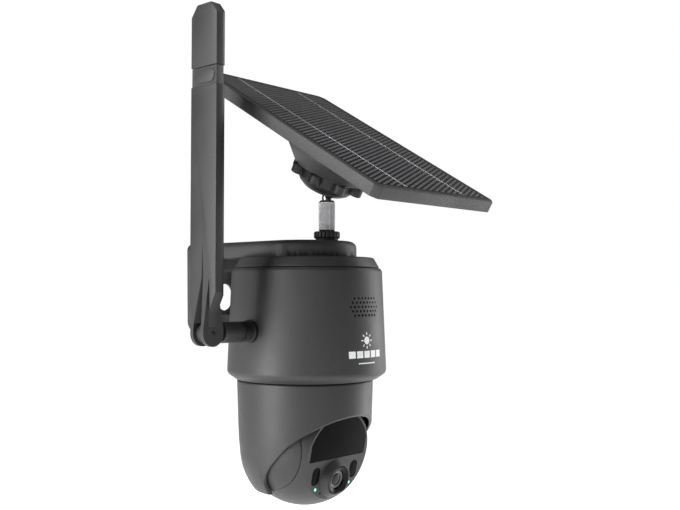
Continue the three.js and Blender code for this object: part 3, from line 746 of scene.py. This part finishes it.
blade = prism(section(0), 4, 151.6)
blade = cut(blade, prism(FOOT_RIGHT, -9, 9, "X"))
blade = cut(blade, prism(FOOT_LEFT, -9, 9, "X"))
blade = soften(blade, 0.45, 3, 20)
knuckle = prism([(-BLADE_THIN, 34), (-8, 2.5), (-8, 0), (8, 0), (8, 2.5), (BLADE_THIN, 24)], -6.1, 6.1, "Y")
knuckle = fuse(knuckle, rod(8, -6.1, 6.1, "Y", 72))
slot = ((-12, 12), (-FORK_HALF, FORK_HALF), (-12, FORK_TOP))
knuckle = cut(knuckle, soften(brick(*slot), 0.5, 2), rod(PIN_R, -9, 9, "Y"))
blade = cut(blade, brick(*slot))
blade = fuse(blade, knuckle, prism(section(0.55), 150, 162.9))
groove = raw([(-3.9, 0, 60), (-8.5, -4, 6), (-8.5, 4, 6), (-1, 0, 6)],
             [(0, 1, 2), (0, 2, 3), (0, 3, 1), (1, 3, 2)])
blade = cut(blade, clean(groove))
tag = fillet([(-9.4, 156.4), (-7.6, 153.2), (4.8, 153.2), (7.6, 155.6), (9.4, 159.0), (7.6, 161.8),
              (-5.6, 161.8), (-9.4, 159.4)], 0.5, 3, True)
tag_plate = soften(prism(tag, -3.75, -2.9, "X"), 0.12, 2)
show(blade, "aerial_blade", GREY, "antenna_arm", "antenna_blade", AERIAL, 30)
show(tag_plate, "aerial_blank_tag", GREY, "antenna_arm", at=AERIAL)
tip = prism(section(0), 163.3, 202.4)
for s in (-1, 1):
    corner = [(s * 6.5, 203), (s * 6.5, 202.4), (s * BLADE_HALF, 195.4), (s * 13, 195.4), (s * 13, 203)]
    tip = cut(tip, prism(corner, -9, 9, "X"))
tip = soften(tip, 0.45, 3, 20)
show(tip, "aerial_tip", GREY, "antenna_arm", "antenna_cap", AERIAL, 30)
pin = turned(fillet([(0, -6.4), (1.1, -6.4), (1.5, -6.0), (1.5, 6.0), (1.1, 6.4), (0, 6.4)], 0.15, 2), 32, "Y")
show(pin, "aerial_hinge_pin", DARK, "antenna_arm", "antenna_pin", AERIAL)
sleeve = turned(fillet([(0, 10.6), (5.6, 10.6), (6.55, 11.6), (6.55, 26.2), (5.3, 26.2), (5.3, 24), (3.1, 24),
                        (3.1, 18), (0, 18)], [0, 0.4, 0.6, 0.3, 0.2, 0.1, 0.1, 0.1, 0], 4), 72, "X")
tongue = fuse(rod(6, -3, 3, "Y", 64), brick((0, 11.4), (-3, 3), (-5, 5)))
tongue = soften(cut(tongue, rod(PIN_R, -5, 5, "Y")), 0.3, 2, 50)
show(fuse(sleeve, tongue), "aerial_swivel", GREY, "antenna_swivel_body", "antenna_sleeve", AERIAL)

# ------------------------------------------------------------------ stud, nut and ball
GRIP_R, KNURL_DEEP, KNURL_ROUND, KNURL_ALONG = 5.45, 0.30, 14, 1.9


def knurl(r, h, a):
    """Crossed grooves on the stud's grip."""
    if r > 5.3 and 18.4 < h < 36.6:
        one = abs(math.sin(KNURL_ROUND * a + KNURL_ALONG * h))
        other = abs(math.sin(KNURL_ROUND * a - KNURL_ALONG * h))
        return r - KNURL_DEEP + KNURL_DEEP * one * other * 1.5
    return r


grip = [(GRIP_R, 18.2)] + [(GRIP_R, 18.5 + 18.0 * k / 90) for k in range(91)] + [(GRIP_R, 36.8)]
stud = turned([(0, 1.3), (2.7, 1.3), (3, 1.7), (3, 17.7), (5.0, 17.7)] + grip
              + [(4.6, 38.2), (3.4, 38.4), (3.4, 40.5), (2.4, 44.2), (2.4, 44.32)]
              + arc(BALL_JOINT_R, -74.5, 90, 40, (0, JOINT_Z)), 280, radius_of=knurl)
show(stud, "ball_stud", CHROME, "stud_body", "panel_stud", STUD, 50)


NUT_GROOVES, GROOVE_DEEP = 20, 0.85


def ribs(r, h, a):
    """Upright grooves round the nut's rim."""
    if r > 7.9:
        return r - GROOVE_DEEP * max(0.0, math.cos(NUT_GROOVES * a)) ** 3
    return r


nut = fillet([(3.3, 11.4), (7.5, 11.4), (7.5, 12.6), (8.0, 12.6), (8.75, 13.3), (8.75, 16.6), (8.0, 17.3),
              (3.3, 17.3)], [0.1, 0.3, 0.1, 0.2, 0.3, 0.3, 0.3, 0.1], 3, True)
nut = turned(nut, 260, closed=True, radius_of=ribs)
show(nut, "knurled_nut", DARK, "lock_nut_body", "lock_nut", STUD, 50)


LUG_STEP, LUG_AT, LUG_R = 45, 22.6, 4     # degrees apart, distance out, radius of each


def lugs(r, h, a):
    """Eight round lugs standing out of the clamp ring, each with eased edges."""
    if r < 19.5 or h < -1.7:
        return r
    d = math.degrees(a) % LUG_STEP - LUG_STEP / 2
    y = LUG_AT * math.sin(RAD(abs(d)))
    if y >= LUG_R:
        return r
    lug = LUG_AT * math.cos(RAD(d)) + math.sqrt(LUG_R ** 2 - y * y)
    return max(r, lug - (0.5 if h < -1.2 or h > 4.3 else 0.0))


clamp = [(15.8, 4.7), (19.7, 4.7), (20, 4.4), (20, 4.0), (20, 2.0), (20, 0), (20, -1.1), (20, -1.6),
         (20, -1.75)]
clamp += fillet([(20, -2), (17.5, -5.5), (13.4, -8.2), (12.2, -8.2), (8.3, -4.3)], [0, 2.5, 0.4, 0.4, 0], 5)
clamp += [(8.3, -3.8), (11.5, -3.8), (12, -2), (12.2, 0.2), (15.8, 0.2)]
clamp = turned(clamp, 288, closed=True, radius_of=lugs)
show(clamp, "lobed_clamp_ring", DARK, "clamp_ring_body", "clamp_ring", PANEL, 40)

# ------------------------------------------------------------------ solar panel
BOSS_TOP = PANEL_LOW - 0.3
boss = turned(fillet([(0, BOSS_TOP), (38, BOSS_TOP), (38, 22), (33.7, 15), (25, 5), (15.5, 5), (15.5, 0.5),
                      (12.2, 0.5), (12.2, 6), (0, 12)], [0, 0.4, 0.6, 3, 0.8, 0.3, 0.2, 0.2, 2, 0], 5), 144)
show(boss, "panel_cone", GREY, "panel_body", "panel_boss", PANEL)


def chamfered(w, h, c):
    x, y = w / 2, h / 2
    return fillet([(-x + c, -y), (x - c, -y), (x, -y + c), (x, y - c),
                   (x - c, y), (-x + c, y), (-x, y - c), (-x, -y + c)], 1.2, 3, True)


edge = prism(chamfered(PANEL_W, PANEL_L, 4), PANEL_LOW, PANEL_TOP)
edge = soften(edge, 0.8, 3, 50)
edge = cut(edge, prism(round_rect(PANEL_W - 8, PANEL_L - 8, 2), PANEL_TOP - 1.6, 35),
           prism(round_rect(PANEL_W - 20, PANEL_L - 20, 3), 20, 32))
edge = cut(edge, prism(round_rect(PANEL_W - 12, PANEL_L - 12, 3), 20, PANEL_LOW + 2.6))
show(edge, "panel_edge_frame", FRAME_GREY, "panel_body", "panel_frame", PANEL)
sheet = soften(prism(round_rect(PANEL_W - 8.6, PANEL_L - 8.6, 1.7), PANEL_TOP - 1.3, PANEL_TOP), 0.15, 2, 50)
layer = sheet.data.uv_layers.new(name="panel")
for loop in sheet.data.loops:
    v = sheet.data.vertices[loop.vertex_index].co
    layer.data[loop.index].uv = (v.x, v.y)
show(sheet, "cell_sheet", SOLAR, "panel_body", "solar_laminate", PANEL)
for k, x in enumerate((-RIBBON_X, RIBBON_X)):
    ribbon = prism(round_rect(0.95, 2 * CELLS_HALF_L - 0.2, 0.3, x, 0, 2), PANEL_TOP - 0.05, PANEL_TOP + 0.05)
    show(ribbon, f"current_ribbon_{k + 1}", RIBBON, "panel_body", at=PANEL)
plate = prism(round_rect(PANEL_W - 12.6, PANEL_L - 12.6, 2.7), PANEL_LOW + 0.2, PANEL_LOW + 2.3)
ridges = []
for y in (-74, -66, -58, -50, 50, 58, 66, 74):
    ridges.append(soften(prism(round_rect(92, 1.6, 0.7, 0, y, 3), 24.95, 26), 0.2, 2))
plate = combine(plate, ridges, "UNION")
show(plate, "panel_back_cover", BACK, "panel_body", "panel_back_plate", PANEL)
for k, (x, y) in enumerate(((-49, -78), (49, -78), (-49, 78), (49, 78))):
    head = turned(fillet([(0, 24.9), (2.0, 24.9), (2.6, 25.3), (2.6, 26), (0, 26)], 0.2, 3), 32)
    long, short, deep = (-1.7, 1.7), (-0.3, 0.3), (24, 25.2)
    head = cut(head, brick(long, short, deep), brick(short, long, deep))
    show(head, f"back_screw_{k + 1}", STEEL, "panel_body", at=PANEL @ Matrix.Translation((x, y, 0)))

# ------------------------------------------------------------------ inner pieces keep their frame shapes
FINISH = {"arm_screw": STEEL, "pan_bearing": STEEL, "usb_socket": STEEL, "pan_motor": STEEL, "tilt_motor": STEEL,
          "drum_floor": DARK, "battery_tray": DARK, "speaker": DARK, "trunnion": DARK,
          "pan_gear": NYLON, "tilt_gear": NYLON, "tilt_bush": NYLON, "ball_seat": NYLON,
          "main_board": BOARD, "sensor_board": BOARD, "pan_pinion": BRASS, "tilt_pinion": BRASS,
          "battery_cell": CELL, "lid_gasket": RUBBER}
for name, obj in NODES.items():
    for start_of, material in FINISH.items():
        if name.startswith(start_of):
            obj.data.materials.clear()
            obj.data.materials.append(material)
            obj.data.shade_smooth()
            obj.data.set_sharp_from_angle(angle=RAD(30))

# ------------------------------------------------------------------ room, light and camera
FLOOR_Z, FLOOR_HALF = -0.42, 30     # metres from here on
floor_mat, tree, floor_shader, at = start("pale floor")
tree.links.new(tint(tree, noise(tree, at, 3.0), (0.93, 0.93, 0.93), (0.96, 0.96, 0.96)),
               floor_shader.inputs["Base Color"])
floor_shader.inputs["Roughness"].default_value = 0.9
floor_shader.inputs["Emission Color"].default_value = (1, 1, 1, 1)
floor_shader.inputs["Emission Strength"].default_value = 0.9
floor = raw([(x * FLOOR_HALF, y * FLOOR_HALF, FLOOR_Z) for x, y in ((-1, -1), (1, -1), (1, 1), (-1, 1))],
            [(0, 1, 2, 3)], "pale_floor")
floor.data.materials.append(floor_mat)

world = bpy.data.worlds.new("studio")
bpy.context.scene.world = world
world.use_nodes = True
wt = world.node_tree
wt.nodes.clear()
seen = node(wt, "ShaderNodeBackground", Color=(1, 1, 1, 1), Strength=1.0)
fill = node(wt, "ShaderNodeBackground", Color=(1, 1, 1, 1), Strength=0.155)
ray = wt.nodes.new("ShaderNodeLightPath")
blend = wt.nodes.new("ShaderNodeMixShader")
end = wt.nodes.new("ShaderNodeOutputWorld")
wt.links.new(ray.outputs["Is Camera Ray"], blend.inputs[0])
wt.links.new(fill.outputs[0], blend.inputs[1])
wt.links.new(seen.outputs[0], blend.inputs[2])
wt.links.new(blend.outputs[0], end.inputs["Surface"])

TARGET = Vector((0, -0.09, 0.0))


def softbox(name, place, size, power):
    light = bpy.data.lights.new(name, "AREA")
    light.shape, light.size, light.size_y, light.energy = "RECTANGLE", size[0], size[1], power
    obj = bpy.data.objects.new(name, light)
    bpy.context.scene.collection.objects.link(obj)
    obj.location = place
    obj.rotation_euler = (TARGET - Vector(place)).to_track_quat("-Z", "Y").to_euler()


softbox("left_box", (-1.3, 0.2, 0.2), (0.7, 1.7), 40)
softbox("right_box", (1.3, -0.5, 0.1), (0.6, 1.7), 14)
softbox("top_box", (0.1, -0.5, 1.3), (1.2, 1.2), 7)

view = bpy.data.cameras.new("view")
view.lens = 47.65
view.sensor_width = 36
view.clip_start, view.clip_end = 0.01, 100
eye = bpy.data.objects.new("view", view)
bpy.context.scene.collection.objects.link(eye)
eye.location = (-0.44677, -0.50976, -0.02213)
eye.rotation_euler = Vector((0.74965, 0.66066, 0.03943)).to_track_quat("-Z", "Y").to_euler()
bpy.context.scene.camera = eye
bpy.context.scene.view_settings.view_transform = "Standard"
